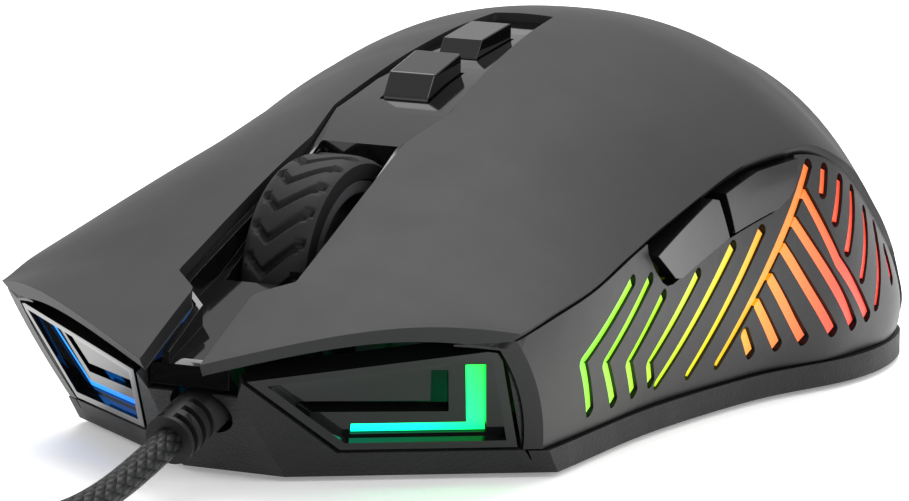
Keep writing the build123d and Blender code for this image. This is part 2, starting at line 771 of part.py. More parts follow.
half_wheel = wheel_width / 2
GROOVE_COUNT = 24
with BuildPart() as wheel_tyre:
    add(disc_along_axle(wheel_radius, -half_wheel, half_wheel, hub_radius + running_clearance))
    fillet(wheel_tyre.edges().filter_by(GeomType.CIRCLE).group_by(SortBy.RADIUS)[-1], radius=0.9)
    with BuildSketch(axle_plane.offset(-half_wheel * 0.72)):
        with PolarLocations(wheel_radius, GROOVE_COUNT):
            Rectangle(1.4, 0.9)
    extrude(amount=half_wheel * 1.44, mode=Mode.SUBTRACT)
wheel_tyre.part.label = "wheel_tyre"
export_step(wheel_tyre.part, "parts/wheel_tyre.step")

with BuildPart() as wheel_hub:
    add(disc_along_axle(hub_radius, -half_wheel + 0.2, half_wheel - 0.2, axle_radius + running_clearance))
    with BuildSketch(axle_plane.offset(1.0)):
        Circle(hub_radius - 1.4)
        Circle(axle_radius + 1.6, mode=Mode.SUBTRACT)
    extrude(amount=half_wheel, mode=Mode.SUBTRACT)
    with BuildSketch(axle_plane.offset(-1.0 - half_wheel)):
        Circle(hub_radius - 1.4)
        Circle(axle_radius + 1.6, mode=Mode.SUBTRACT)
    extrude(amount=half_wheel, mode=Mode.SUBTRACT)
wheel_hub.part.label = "wheel_hub"
export_step(wheel_hub.part, "parts/wheel_hub.step")

bearing_inner_x = 7.0
bearing_outer_x = 9.4
encoder_inner_x = 9.9
encoder_outer_x = 13.4
with BuildPart() as wheel_axle:
    add(disc_along_axle(axle_radius, -bearing_outer_x, encoder_outer_x - 0.4))
wheel_axle.part.label = "wheel_axle"
export_step(wheel_axle.part, "parts/wheel_axle.step")

bearing_half = 3.0
bearing_drop = 3.0
middle_nub_y = wheel_y
middle_nub_x = -(encoder_inner_x + encoder_outer_x) / 2
for side, way in (("left", 1), ("right", -1)):
    with BuildPart() as bearing:
        with Locations((way * (bearing_inner_x + bearing_outer_x) / 2, wheel_y, wheel_z)):
            Box(bearing_outer_x - bearing_inner_x, 2 * bearing_half, 2 * bearing_drop)
        if way < 0:
            with Locations((-12.8, wheel_y, wheel_z - bearing_drop)):
                Box(3.6, 3.0, 1.6, align=(Align.MIN, Align.CENTER, Align.MIN))
        add(disc_along_axle(axle_radius + running_clearance, -30, 30), mode=Mode.SUBTRACT)
    bearing.part.label = f"wheel_bearing_{side}"
    export_step(bearing.part, f"parts/wheel_bearing_{side}.step")

cradle_top_z = 21.8
cradle_rear_y = -18.5
with BuildPart() as wheel_cradle:
    for way in (-1, 1):
        with BuildSketch(Plane.YZ.offset(way * (bearing_inner_x + bearing_outer_x) / 2)):
            with BuildLine():
                Polyline(
                    (board_front_y, board_top_z),
                    (board_front_y, cradle_top_z),
                    (wheel_y - bearing_half - fit_gap, cradle_top_z),
                    (wheel_y - bearing_half - fit_gap, 9.0),
                    (wheel_y + bearing_half + fit_gap, 9.0),
                    (wheel_y + bearing_half + fit_gap, cradle_top_z),
                    (-22.4, cradle_top_z),
                    (-22.4, 9.0),
                    (cradle_rear_y, 9.0),
                    (cradle_rear_y, board_top_z),
                    close=True,
                )
            make_face()
        extrude(amount=(bearing_outer_x - bearing_inner_x) / 2, both=True)
    with Locations((0, cradle_rear_y, board_top_z)):
        Box(2 * bearing_inner_x + 1, 2.0, 1.8, align=(Align.CENTER, Align.MAX, Align.MIN))
wheel_cradle.part.label = "wheel_cradle"
export_step(wheel_cradle.part, "parts/wheel_cradle.step")

with BuildPart() as scroll_encoder:
    with Locations(((encoder_inner_x + encoder_outer_x) / 2, wheel_y, board_top_z)):
        Box(
            encoder_outer_x - encoder_inner_x,
            8.6,
            16.4,
            align=(Align.CENTER, Align.CENTER, Align.MIN),
        )
    add(disc_along_axle(axle_radius + wheel_travel + 0.4, -30, 30), mode=Mode.SUBTRACT)
scroll_encoder.part.label = "scroll_encoder"
export_step(scroll_encoder.part, "parts/scroll_encoder.step")

middle_nub_foot_z = 9.4
with BuildPart() as middle_switch:
    with Locations((middle_nub_x, middle_nub_y, board_top_z)):
        Box(3.4, 5.6, 4.2, align=(Align.CENTER, Align.CENTER, Align.MIN))
    with Locations((middle_nub_x, middle_nub_y, middle_nub_foot_z - wheel_travel - fit_gap)):
        Cylinder(1.0 + fit_gap, 8, align=(Align.CENTER, Align.CENTER, Align.MIN), mode=Mode.SUBTRACT)
middle_switch.part.label = "middle_switch"
export_step(middle_switch.part, "parts/middle_switch.step")
with BuildPart() as middle_nub:
    with Locations((middle_nub_x, middle_nub_y, middle_nub_foot_z)):
        Cylinder(
            1.0,
            wheel_z - bearing_drop - middle_nub_foot_z,
            align=(Align.CENTER, Align.CENTER, Align.MIN),
        )
middle_nub.part.label = "middle_switch_nub"
export_step(middle_nub.part, "parts/middle_switch_nub.step")

# ---------------------------------------------------------------- boards and electronics
with BuildPart() as main_board:
    with BuildSketch(Plane.XY.offset(board_z)):
        with Locations((0, (board_front_y + board_rear_y) / 2)):
            Rectangle(2 * board_half_width, board_rear_y - board_front_y)
        chamfer(vertices(), length=3.0)
        with Locations((0, -15.5)):
            Rectangle(13.0, 60, align=(Align.CENTER, Align.MAX), mode=Mode.SUBTRACT)
        with Locations(lens_place):
            Rectangle(6.0, 6.0, mode=Mode.SUBTRACT)
        with Locations(*board_posts):
            Circle(board_screw_radius + 0.2, mode=Mode.SUBTRACT)
    extrude(amount=board_thickness)
main_board.part.label = "main_board"
export_step(main_board.part, "parts/main_board.step")

nub_size = (2.4, 1.4)
nub_foot_z = switch_top_z - 0.8
nub_travel = 0.4
for side, way in (("left", 1), ("right", -1)):
    with BuildPart() as switch_body:
        with Locations((way * switch_x, switch_y, board_top_z)):
            Box(*switch_size, align=(Align.CENTER, Align.CENTER, Align.MIN))
        fillet(switch_body.edges().filter_by(Axis.Z), radius=0.5)
        with Locations((way * switch_x, switch_y, nub_foot_z - nub_travel - fit_gap)):
            Box(
                nub_size[0] + 2 * fit_gap,
                nub_size[1] + 2 * fit_gap,
                10,
                align=(Align.CENTER, Align.CENTER, Align.MIN),
                mode=Mode.SUBTRACT,
            )
    switch_body.part.label = f"{side}_switch"
    export_step(switch_body.part, f"parts/{side}_switch.step")
    with BuildPart() as nub:
        with Locations((way * switch_x, switch_y, nub_foot_z)):
            Box(*nub_size, nub_rise + 0.8, align=(Align.CENTER, Align.CENTER, Align.MIN))
    nub.part.label = f"{side}_switch_nub"
    export_step(nub.part, f"parts/{side}_switch_nub.step")

with BuildPart() as controller_chip:
    with Locations((0, -9.5, board_top_z)):
        Box(7, 7, 0.9, align=(Align.CENTER, Align.CENTER, Align.MIN))
    chamfer(controller_chip.edges().filter_by(Axis.Z), length=0.4)
controller_chip.part.label = "controller_chip"
export_step(controller_chip.part, "parts/controller_chip.step")

with BuildPart() as optical_sensor:
    with Locations((*lens_place, board_top_z)):
        Box(10.4, 12.0, 3.0, align=(Align.CENTER, Align.CENTER, Align.MIN))
    fillet(optical_sensor.edges().filter_by(Axis.Z), radius=0.8)
optical_sensor.part.label = "optical_sensor"
export_step(optical_sensor.part, "parts/optical_sensor.step")

with BuildPart() as sensor_lens:
    with Locations((*lens_place, floor_top_z)):
        Box(13.0, 14.0, 1.2, align=(Align.CENTER, Align.CENTER, Align.MIN))
    with Locations((*lens_place, floor_top_z)):
        Box(
            lens_hole[0] - 2 * fit_gap,
            lens_hole[1] - 2 * fit_gap,
            1.2,
            align=(Align.CENTER, Align.CENTER, Align.MAX),
        )
    with Locations((*lens_place, floor_top_z + 1.2)):
        Cylinder(2.4, 1.3, align=(Align.CENTER, Align.CENTER, Align.MIN))
sensor_lens.part.label = "sensor_lens"
export_step(sensor_lens.part, "parts/sensor_lens.step")

lamp_size = 2.6
lamp_places = [(side * 18.4, y) for side in (-1, 1) for y in (-13.0, -2.0, 9.0)]
with BuildPart() as light_sources:
    with BuildSketch(Plane.XY.offset(board_top_z)):
        with Locations(*lamp_places):
            Rectangle(lamp_size, lamp_size)
    extrude(amount=1.2)
    with BuildSketch(Plane.XY.offset(board_z)):
        with Locations((14.5, board_front_y + 2.5), (-14.5, board_front_y + 2.5)):
            Rectangle(lamp_size, lamp_size)
    extrude(amount=-1.2)
light_sources.part.label = "light_sources"
export_step(light_sources.part, "parts/light_sources.step")

with BuildPart() as side_board:
    with BuildSketch(Plane.YZ.offset(side_board_x)):
        with Locations((3.0, 18.6)):
            RectangleRounded(26.0, 13.6, 1.0)
    extrude(amount=board_thickness)
side_board.part.label = "side_board"
export_step(side_board.part, "parts/side_board.step")
with BuildPart() as side_switches:
    with BuildSketch(Plane.YZ.offset(side_board_face)):
        with Locations(*SIDE_SWITCHES):
            Rectangle(4.6, 3.4)
    extrude(amount=side_switch_depth - 0.7)
    with BuildSketch(Plane.YZ.offset(side_board_face)):
        with Locations(*SIDE_SWITCHES):
            Circle(1.1)
    extrude(amount=side_switch_depth)
side_switches.part.label = "side_switches"
export_step(side_switches.part, "parts/side_switches.step")

# ---------------------------------------------------------------- screws and skates
with BuildPart() as board_screws:
    for x, y in board_posts:
        with Locations((x, y, board_top_z)):
            Cylinder(1.8, 1.2, align=(Align.CENTER, Align.CENTER, Align.MIN))
            Cylinder(board_screw_radius, 3.4, align=(Align.CENTER, Align.CENTER, Align.MAX))
        with Locations((x, y, board_top_z + 0.7)):
            Box(2.4, 0.5, 1.0, align=(Align.CENTER, Align.CENTER, Align.MIN), mode=Mode.SUBTRACT)
board_screws.part.label = "board_screws"
export_step(board_screws.part, "parts/board_screws.step")
with BuildPart() as case_screws:
    for x, y in POST_PLACES:
        with Locations((x, y, floor_top_z)):
            Cylinder(screw_head_radius, screw_head_height, align=(Align.CENTER, Align.CENTER, Align.MAX))
            Cylinder(screw_radius, 10.0, align=(Align.CENTER, Align.CENTER, Align.MIN))
        with Locations((x, y, floor_top_z - screw_head_height)):
            Box(2.8, 0.5, 0.5, align=(Align.CENTER, Align.CENTER, Align.MIN), mode=Mode.SUBTRACT)
            Box(0.5, 2.8, 0.5, align=(Align.CENTER, Align.CENTER, Align.MIN), mode=Mode.SUBTRACT)
case_screws.part.label = "case_screws"
export_step(case_screws.part, "parts/case_screws.step")

for name, middle_y, width, depth in (("skate_front", -37.0, 30.0, 6.6), ("skate_rear", 52.5, 32.0, 7.0)):
    with BuildPart() as skate:
        with BuildSketch(Plane.XY):
            with Locations((0, middle_y * LENGTH_RATIO)):
                SlotOverall(width, depth)
        extrude(amount=skate_height)
        chamfer(skate.edges().group_by(Axis.Z)[0], length=0.2)
    skate.part.label = name
    export_step(skate.part, f"parts/{name}.step")
with BuildPart() as skate_sensor:
    with BuildSketch(Plane.XY):
        with Locations(lens_place):
            Circle(9.0)
            Circle(6.2, mode=Mode.SUBTRACT)
    extrude(amount=skate_height)
skate_sensor.part.label = "skate_sensor_ring"
export_step(skate_sensor.part, "parts/skate_sensor_ring.step")

# ---------------------------------------------------------------- strain relief and cord
boot_length = 6.94
boot_inside = 5.4
boot_flange_radius = 3.8
with BuildPart() as cord_boot:
    with BuildSketch(outlet_plane.offset(-boot_inside)):
        Circle(boot_flange_radius)
    extrude(amount=1.3)
    with BuildSketch(outlet_plane.offset(-boot_inside)):
        Circle(boot_radius)
    extrude(amount=boot_inside + boot_length)
    for place in (2.2, 3.9, 5.6):
        with BuildSketch(outlet_plane.offset(place)):
            Circle(boot_radius + 1)
            Circle(boot_radius - 0.7, mode=Mode.SUBTRACT)
            Rectangle(1.2, 10, mode=Mode.SUBTRACT)
        extrude(amount=0.8, mode=Mode.SUBTRACT)
cord_boot.part.label = "cord_boot"
export_step(cord_boot.part, "parts/cord_boot.step")


def bend_radii(route):
    """Largest comfortable bend at each inner point of a route."""
    radii = []
    for before, here, after in zip(route[:-2], route[1:-1], route[2:]):
        first = Vector(*here) - Vector(*before)
        second = Vector(*after) - Vector(*here)
        turn = radians(first.get_angle(second))
        radii.append(0.45 * min(first.length, second.length) / tan(turn / 2))
    return radii


def tube(route, radius):
    """Round tube along straight runs joined by tangent arcs; also its length."""
    radii = bend_radii(route)
    with BuildPart() as run:
        with BuildLine() as path:
            FilletPolyline(*route, radius=radii)
        with BuildSketch(Plane(origin=route[0], z_dir=Vector(*route[1]) - Vector(*route[0]))):
            Circle(radius)
        sweep(path=path.line)
    length = sum(edge.length for edge in path.edges())
    print("bends", [round(value, 1) for value in radii], "length", round(length, 1))
    print("volume", round(run.part.volume, 2), "of", round(length * pi * radius**2, 2))
    return run.part


CORD_ROUTE = [
    (0.0, -62.6, 6.05),
    (0.0, -70.5, 3.5),
    (-0.4, -79.0, 1.75),
    (-1.2, -88.0, 1.6),
    (-1.8, -98.0, 1.6),
    (-2.6, -108.0, 1.6),
]
TAIL_ROUTE = [(-45.7, -109.2, 4.6), (-45.9, -106.0, 4.3), (-46.3, -102.6, 4.0)]
for name, route in (("cord_tube", CORD_ROUTE), ("cord_tail", TAIL_ROUTE)):
    with BuildPart() as cord_piece:
        add(tube(route, cord_diameter / 2))
    cord_piece.part.label = name
    export_step(cord_piece.part, f"parts/{name}.step")

turn_count = coil_columns * coil_layers
coil_half = coil_columns * cord_diameter / 2
coil_height = coil_layers * cord_diameter
print("coil turns", turn_count, "length", round(turn_count * 2 * pi * coil_radius))
with BuildPart() as cord_coil:
    with BuildSketch(Plane.XZ.offset(-coil_centre[1])):
        with Locations((coil_centre[0] + coil_radius, coil_height / 2)):
            RectangleRounded(2 * coil_half, coil_height, cord_diameter / 2 - 0.05)
    revolve(axis=Axis((coil_centre[0], coil_centre[1], 0), (0, 0, 1)))
cord_coil.part.label = "cord_coil"
export_step(cord_coil.part, "parts/cord_coil.step")

INNER_ROUTE = [(0.0, -49.9, 10.1), (-3.0, -47.6, 9.6), (-8.2, -44.5, 8.8), (-11.0, -40.4, 8.1), (-11.6, -36.4, 7.8)]
with BuildPart() as inner_lead:
    add(tube(INNER_ROUTE, 1.1))
inner_lead.part.label = "inner_lead"
export_step(inner_lead.part, "parts/inner_lead.step")
with BuildPart() as cable_connector:
    with Locations((-11.6, -36.0, board_top_z)):
        Box(3.4, 3.3, 3.2, align=(Align.CENTER, Align.MIN, Align.MIN))
cable_connector.part.label = "cable_connector"
export_step(cable_connector.part, "parts/cable_connector.step")

# ---------------------------------------------------------------- USB plug
plug_x, plug_z = -46.3, 4.0
relief_start_y = -102.3
relief_length = 10.0
grip_length = 28.0
plug_shell_length = 13.0
grip_start_y = relief_start_y + relief_length
shell_start_y = grip_start_y + grip_length
relief_plane = Plane(origin=(plug_x, relief_start_y, plug_z), x_dir=(1, 0, 0), z_dir=(0, 1, 0))
with BuildPart() as plug_relief:
    with BuildSketch(relief_plane):
        Circle(2.0)
    with BuildSketch(relief_plane.offset(relief_length)):
        Circle(3.0)
    loft()
    for place in (2.4, 4.6, 6.8):
        with BuildSketch(relief_plane.offset(place)):
            Circle(6)
            Circle(1.9, mode=Mode.SUBTRACT)
            Rectangle(1.2, 12, mode=Mode.SUBTRACT)
        extrude(amount=0.9, mode=Mode.SUBTRACT)
plug_relief.part.label = "usb_strain_relief"
export_step(plug_relief.part, "parts/usb_strain_relief.step")
with BuildPart() as plug_grip:
    with BuildSketch(relief_plane.offset(relief_length)):
        RectangleRounded(16.0, 7.9, 2.2)
    extrude(amount=grip_length)
    chamfer(plug_grip.faces().sort_by(Axis.Y)[0].edges(), length=1.2)
plug_grip.part.label = "usb_grip"
export_step(plug_grip.part, "parts/usb_grip.step")
with BuildPart() as plug_shell:
    with BuildSketch(relief_plane.offset(relief_length + grip_length)):
        RectangleRounded(12.0, 4.5, 0.5)
        RectangleRounded(11.4, 3.9, 0.3, mode=Mode.SUBTRACT)
    extrude(amount=plug_shell_length)
    with Locations((plug_x - 2.8, shell_start_y + 6.5, plug_z), (plug_x + 2.8, shell_start_y + 6.5, plug_z)):
        Box(2.4, 2.2, 6.0, mode=Mode.SUBTRACT)
plug_shell.part.label = "usb_shell"
export_step(plug_shell.part, "parts/usb_shell.step")
with BuildPart() as plug_tongue:
    with BuildSketch(relief_plane.offset(relief_length + grip_length)):
        with Locations((0, -0.9)):
            Rectangle(11.3, 1.9)
    extrude(amount=plug_shell_length - 1.0)
plug_tongue.part.label = "usb_tongue"
export_step(plug_tongue.part, "parts/usb_tongue.step")
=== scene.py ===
from math import ceil, cos, hypot, pi, radians, sin

import bmesh
import bpy
from mathutils import Matrix, Vector


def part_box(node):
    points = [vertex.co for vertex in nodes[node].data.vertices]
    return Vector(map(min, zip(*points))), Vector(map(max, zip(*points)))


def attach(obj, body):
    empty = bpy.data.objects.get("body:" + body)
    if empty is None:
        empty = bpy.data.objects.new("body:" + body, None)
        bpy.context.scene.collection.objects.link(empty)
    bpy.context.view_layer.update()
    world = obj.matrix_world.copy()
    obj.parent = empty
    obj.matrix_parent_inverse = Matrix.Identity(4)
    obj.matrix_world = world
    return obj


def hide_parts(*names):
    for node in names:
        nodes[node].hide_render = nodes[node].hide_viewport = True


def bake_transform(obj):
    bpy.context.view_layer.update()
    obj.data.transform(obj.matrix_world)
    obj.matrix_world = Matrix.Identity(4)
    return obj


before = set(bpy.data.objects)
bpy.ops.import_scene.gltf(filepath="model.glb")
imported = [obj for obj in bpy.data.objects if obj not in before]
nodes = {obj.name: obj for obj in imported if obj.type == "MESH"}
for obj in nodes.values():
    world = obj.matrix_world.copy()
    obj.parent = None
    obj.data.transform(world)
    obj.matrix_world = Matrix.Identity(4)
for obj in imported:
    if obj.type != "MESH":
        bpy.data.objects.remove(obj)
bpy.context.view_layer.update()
MM = 0.001

# ---------------------------------------------------------------- camera
# A long lens looks at the mouse from the front of its thumb side, a little above the desk.
# The camera is turned slightly about its own line of sight.
camera_roll = 0.013
camera_data = bpy.data.cameras.new("camera")
camera = bpy.data.objects.new("camera", camera_data)
bpy.context.scene.collection.objects.link(camera)
camera_place = Vector((0.295643, -0.568503, 0.121314))
camera_target = Vector((-0.587471, 1.128552, -0.190219))
camera_data.lens = 232.72
camera_data.sensor_width = 36.0
camera_data.clip_start = 0.05
camera.location = camera_place
look = (camera_target - camera_place).to_track_quat("-Z", "Y")
camera.rotation_euler = (look.to_matrix() @ Matrix.Rotation(camera_roll, 3, "Z")).to_euler()
bpy.context.scene.camera = camera


# ---------------------------------------------------------------- cord
# One lead in a black woven sleeve. It leaves the outlet, runs along the desk, goes round its
# stored coil in four columns and four layers, and ends in the plug beside the coil.
cord_diameter = 3.1 * MM
cord_radius = cord_diameter / 2
coil_centre = Vector((-0.024, -0.117, 0.0))
coil_radius = 0.017
coil_columns = 4
coil_layers = 4
steps_per_turn = 24
crossing_share = 0.3
desk_clearance = 0.00005
LEAD_OUT = [
    (0.0, -0.0626, 0.00605), (0.0, -0.0705, 0.0035), (-0.0004, -0.0790, 0.00175),
    (-0.0012, -0.0880, 0.0016), (-0.0018, -0.0980, 0.0016), (-0.0024, -0.1080, 0.0016),
]
TAIL = [(-0.0457, -0.1092, 0.0046), (-0.0459, -0.1060, 0.0043), (-0.0463, -0.1026, 0.0040)]
turn_count = coil_columns * coil_layers
coil_points = []
lay_order = []
for layer in range(coil_layers):
    columns = list(range(coil_columns))
    if layer % 2 == 0:
        columns.reverse()
    lay_order += [(column, layer) for column in columns]
total_steps = turn_count * steps_per_turn - steps_per_turn // 2
for step in range(1, total_steps):
    turn = step / steps_per_turn
    whole = min(int(turn), turn_count - 1)
    share = turn - whole
    here, there = lay_order[whole], lay_order[min(whole + 1, turn_count - 1)]
    slide = min(max((share - (1 - crossing_share)) / crossing_share, 0.0), 1.0)
    column = here[0] + (there[0] - here[0]) * slide
    layer = here[1] + (there[1] - here[1]) * slide
    radius = coil_radius + (column - (coil_columns - 1) / 2) * 2 * cord_radius
    angle = -2 * pi * turn
    z = cord_radius + desk_clearance + layer * 2 * cord_radius
    coil_points.append((coil_centre.x + radius * cos(angle), coil_centre.y + radius * sin(angle), z))
cord_points = LEAD_OUT + coil_points + TAIL

cord_curve = bpy.data.curves.new("cord_line", "CURVE")
cord_curve.dimensions = "3D"
spline = cord_curve.splines.new("NURBS")
spline.points.add(len(cord_points) - 1)
for point, place in zip(spline.points, cord_points):
    point.co = (*place, 1.0)
spline.order_u = 3
spline.use_endpoint_u = True
spline.resolution_u = 6
line_object = bpy.data.objects.new("cord_line", cord_curve)
bpy.context.scene.collection.objects.link(line_object)
bpy.context.view_layer.update()
line_mesh = bpy.data.meshes.new_from_object(line_object.evaluated_get(bpy.context.evaluated_depsgraph_get()))
cord_path = [vertex.co.copy() for vertex in line_mesh.vertices]
bpy.data.objects.remove(line_object)
cord_length = sum((b - a).length for a, b in zip(cord_path, cord_path[1:]))
print("cord length", round(cord_length, 4), "points", len(cord_path))


def mesh_object(name, vertices, faces, material, smooth=True):
    """Mesh piece at the origin with one material."""
    mesh = bpy.data.meshes.new(name)
    mesh.from_pydata(vertices, [], faces)
    mesh.update()
    mesh.polygons.foreach_set("use_smooth", [smooth] * len(mesh.polygons))
    piece = bpy.data.objects.new(name, mesh)
    bpy.context.scene.collection.objects.link(piece)
    mesh.materials.append(material)
    return piece


def tube_along(name, path, radius, sides, material):
    """Closed round tube along a path, with the length along it and the angle as its UV."""
    vertices, faces, lengths = [], [], [0.0]
    for a, b in zip(path, path[1:]):
        lengths.append(lengths[-1] + (b - a).length)
    up = Vector((0, 0, 1))
    for i, place in enumerate(path):
        ahead = path[min(i + 1, len(path) - 1)] - path[max(i - 1, 0)]
        ahead.normalize()
        side = ahead.cross(up).normalized()
        top = side.cross(ahead)
        for k in range(sides):
            angle = 2 * pi * k / sides
            vertices.append(place + (side * cos(angle) + top * sin(angle)) * radius)
    for i in range(len(path) - 1):
        for k in range(sides):
            n = (k + 1) % sides
            faces.append((i * sides + k, i * sides + n, (i + 1) * sides + n, (i + 1) * sides + k))
    faces.append(tuple(range(sides))[::-1])
    last = (len(path) - 1) * sides
    faces.append(tuple(range(last, last + sides)))
    piece = mesh_object(name, vertices, [f[::-1] for f in faces], material)
    layer = piece.data.uv_layers.new(name="run")
    for polygon in piece.data.polygons:
        ks = [piece.data.loops[l].vertex_index % sides for l in polygon.loop_indices]
        wraps = max(ks) == sides - 1 and min(ks) == 0 and len(ks) == 4
        for l, k in zip(polygon.loop_indices, ks):
            row = piece.data.loops[l].vertex_index // sides
            around = 1.0 if wraps and k == 0 else k / sides
            layer.data[l].uv = (lengths[row], around)
    return piece


def new_material(name):
    material = bpy.data.materials.new(name)
    material.use_nodes = True
    shader = material.node_tree.nodes["Principled BSDF"]
    return material, material.node_tree, shader


def coordinates(tree, kind="Object"):
    return tree.nodes.new("ShaderNodeTexCoord").outputs[kind]


def ramp(tree, value, stops):
    node = tree.nodes.new("ShaderNodeValToRGB")
    elements = node.color_ramp.elements
    while len(elements) < len(stops):
        elements.new(0.5)
    for element, (place, colour) in zip(elements, stops):
        element.position = place
        element.color = (*colour, 1.0)
    tree.links.new(value, node.inputs["Fac"])
    return node.outputs["Color"]


def bump(tree, shader, height, strength, distance):
    node = tree.nodes.new("ShaderNodeBump")
    node.inputs["Strength"].default_value = strength
    node.inputs["Distance"].default_value = distance
    tree.links.new(height, node.inputs["Height"])
    tree.links.new(node.outputs["Normal"], shader.inputs["Normal"])


braid, tree, shader = new_material("braid")
split = tree.nodes.new("ShaderNodeSeparateXYZ")
tree.links.new(coordinates(tree, "UV"), split.inputs["Vector"])


def math_node(tree, operation, first, second=None):
    node = tree.nodes.new("ShaderNodeMath")
    node.operation = operation
    for socket, value in zip(node.inputs, (first, second)):
        if value is None:
            continue
        if isinstance(value, (int, float)):
            socket.default_value = value
        else:
            tree.links.new(value, socket)
    return node.outputs[0]


strands_around = 8
strand_pitch = 0.016
lengthwise = math_node(tree, "MULTIPLY", split.outputs["X"], pi * strands_around / strand_pitch)
around = math_node(tree, "MULTIPLY", split.outputs["Y"], pi * strands_around)
left_wave = math_node(tree, "SINE", math_node(tree, "ADD", lengthwise, around))
right_wave = math_node(tree, "SINE", math_node(tree, "SUBTRACT", lengthwise, around))
weave = math_node(tree, "MULTIPLY", left_wave, right_wave)
lift = math_node(tree, "ABSOLUTE", weave)
strand_colour = ramp(tree, lift, [(0.0, (0.001, 0.001, 0.001)), (0.7, (0.014, 0.014, 0.015))])
tree.links.new(strand_colour, shader.inputs["Base Color"])
shader.inputs["Roughness"].default_value = 0.5
shader.inputs["Specular IOR Level"].default_value = 0.25
strand_height = 0.00025
bump(tree, shader, lift, 0.8, strand_height)
cord_sides = 14
cord = tube_along("cord", cord_path, cord_radius, cord_sides, braid)
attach(cord, "housing")
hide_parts("cord_tube", "cord_coil", "cord_tail")

# ---------------------------------------------------------------- form of the body
# The same stations as the CAD form: place along Y, crown height, crown power, half width
# and height of the shell's edge, half width of the foot, in millimetres.
STATIONS = [
    (-66.0, 12.3, 2.0, 29.9, 15.4, 29.0), (-52.0, 19.8, 2.0, 30.1, 17.0, 29.1),
    (-46.0, 22.6, 2.0, 30.8, 17.2, 29.2), (-38.0, 26.2, 2.1, 31.6, 18.7, 29.2),
    (-30.0, 29.7, 2.1, 31.9, 20.1, 28.9), (-20.0, 33.6, 2.0, 31.3, 22.2, 28.4),
    (-10.0, 37.0, 1.9, 30.5, 24.0, 27.9), (0.0, 39.6, 1.9, 30.3, 26.0, 28.2),
    (10.0, 41.2, 2.0, 30.9, 28.1, 29.0), (20.0, 41.9, 2.1, 32.5, 28.8, 30.6),
    (30.0, 41.0, 2.2, 33.8, 25.5, 33.4), (40.0, 37.9, 2.6, 33.1, 19.1, 34.0),
    (48.0, 34.5, 3.1, 31.7, 13.6, 32.6), (54.0, 30.3, 3.2, 29.1, 10.0, 30.2),
    (58.5, 24.4, 3.1, 25.7, 8.0, 26.0), (61.5, 16.9, 3.0, 21.0, 6.9, 21.3),
    (63.0, 9.0, 3.0, 15.0, 6.3, 15.3),
]
seam_height = 3.5
shell_wall = 1.8
hinge_y = 9.0
SPINE_HALF_WIDTHS = [
    (-70.0, 3.5), (-51.7, 3.5), (-48.8, 7.0), (-40.0, 6.6), (-30.0, 6.1), (-23.0, 5.6),
    (-15.5, 7.0), (-8.0, 6.2), (0.0, 5.4), (8.0, 4.6), (15.8, 3.7),
]
front_sweep = radians(36.4)
front_lean = radians(34.5)
front_normal = Vector((
    sin(front_sweep) * cos(front_lean), -cos(front_sweep) * cos(front_lean), -sin(front_lean)
))
front_point = Vector((18.8, -45.6, 7.5))


def between(y, column):
    """Value of a station column at y, on a smooth curve through the stations."""
    y = min(max(y, STATIONS[0][0]), STATIONS[-1][0])
    i = max(k for k in range(len(STATIONS) - 1) if STATIONS[k][0] <= y)
    step = STATIONS[i + 1][0] - STATIONS[i][0]
    t = (y - STATIONS[i][0]) / step

    def rise(k):
        return (STATIONS[k + 1][column] - STATIONS[k][column]) / (STATIONS[k + 1][0] - STATIONS[k][0])

    def slope(k):
        if k in (0, len(STATIONS) - 1):
            return rise(min(k, len(STATIONS) - 2))
        left, right = rise(k - 1), rise(k)
        return 0.0 if left * right <= 0 else 2 * left * right / (left + right)

    return (
        (2 * t**3 - 3 * t**2 + 1) * STATIONS[i][column] + (t**3 - 2 * t**2 + t) * step * slope(i)
        + (3 * t**2 - 2 * t**3) * STATIONS[i + 1][column] + (t**3 - t**2) * step * slope(i + 1)
    )


def spine_half(y):
    for (y0, w0), (y1, w1) in zip(SPINE_HALF_WIDTHS, SPINE_HALF_WIDTHS[1:]):
        if y <= y1:
            return w0 + (w1 - w0) * (y - y0) / (y1 - y0)
    return SPINE_HALF_WIDTHS[-1][1]


def top_point(y, share, inset):
    """Point of the top at a share of the half width, on the form drawn in by inset."""
    edge, edge_height, crown = between(y, 3), between(y, 4), between(y, 1)
    height = edge_height + (crown - edge_height) * (1 - min(abs(share), 1.0) ** between(y, 2))
    return Vector((share * (edge - inset), y, height - inset))


def side_point(y, down, inset):
    """Point of the side from the shell's edge (down 0) to the seam (down 1)."""
    along = min(max((y + 40) / 75, 0.0), 1.0)
    belly = 0.3 + 1.4 * along if y < 35 else 1.7 - 0.034 * (y - 35)
    edge, foot, edge_height = between(y, 3), between(y, 5), between(y, 4)
    x = edge + (foot - edge) * down ** (1.3 + 0.6 * along) + belly * sin(pi * down)
    return Vector((x - inset, y, edge_height - inset + (seam_height - edge_height + inset) * down))


def front_limit(point_at):
    """Place along Y where a line of the form meets the front plane."""
    low, high = -66.0, -30.0
    for _ in range(40):
        middle = (low + high) / 2
        point = point_at(middle)
        ahead = (Vector((abs(point.x), point.y, point.z)) - front_point).dot(front_normal) > 0
        low, high = (middle, high) if ahead else (low, middle)
    return (low + high) / 2


skin_rounding = 0.35


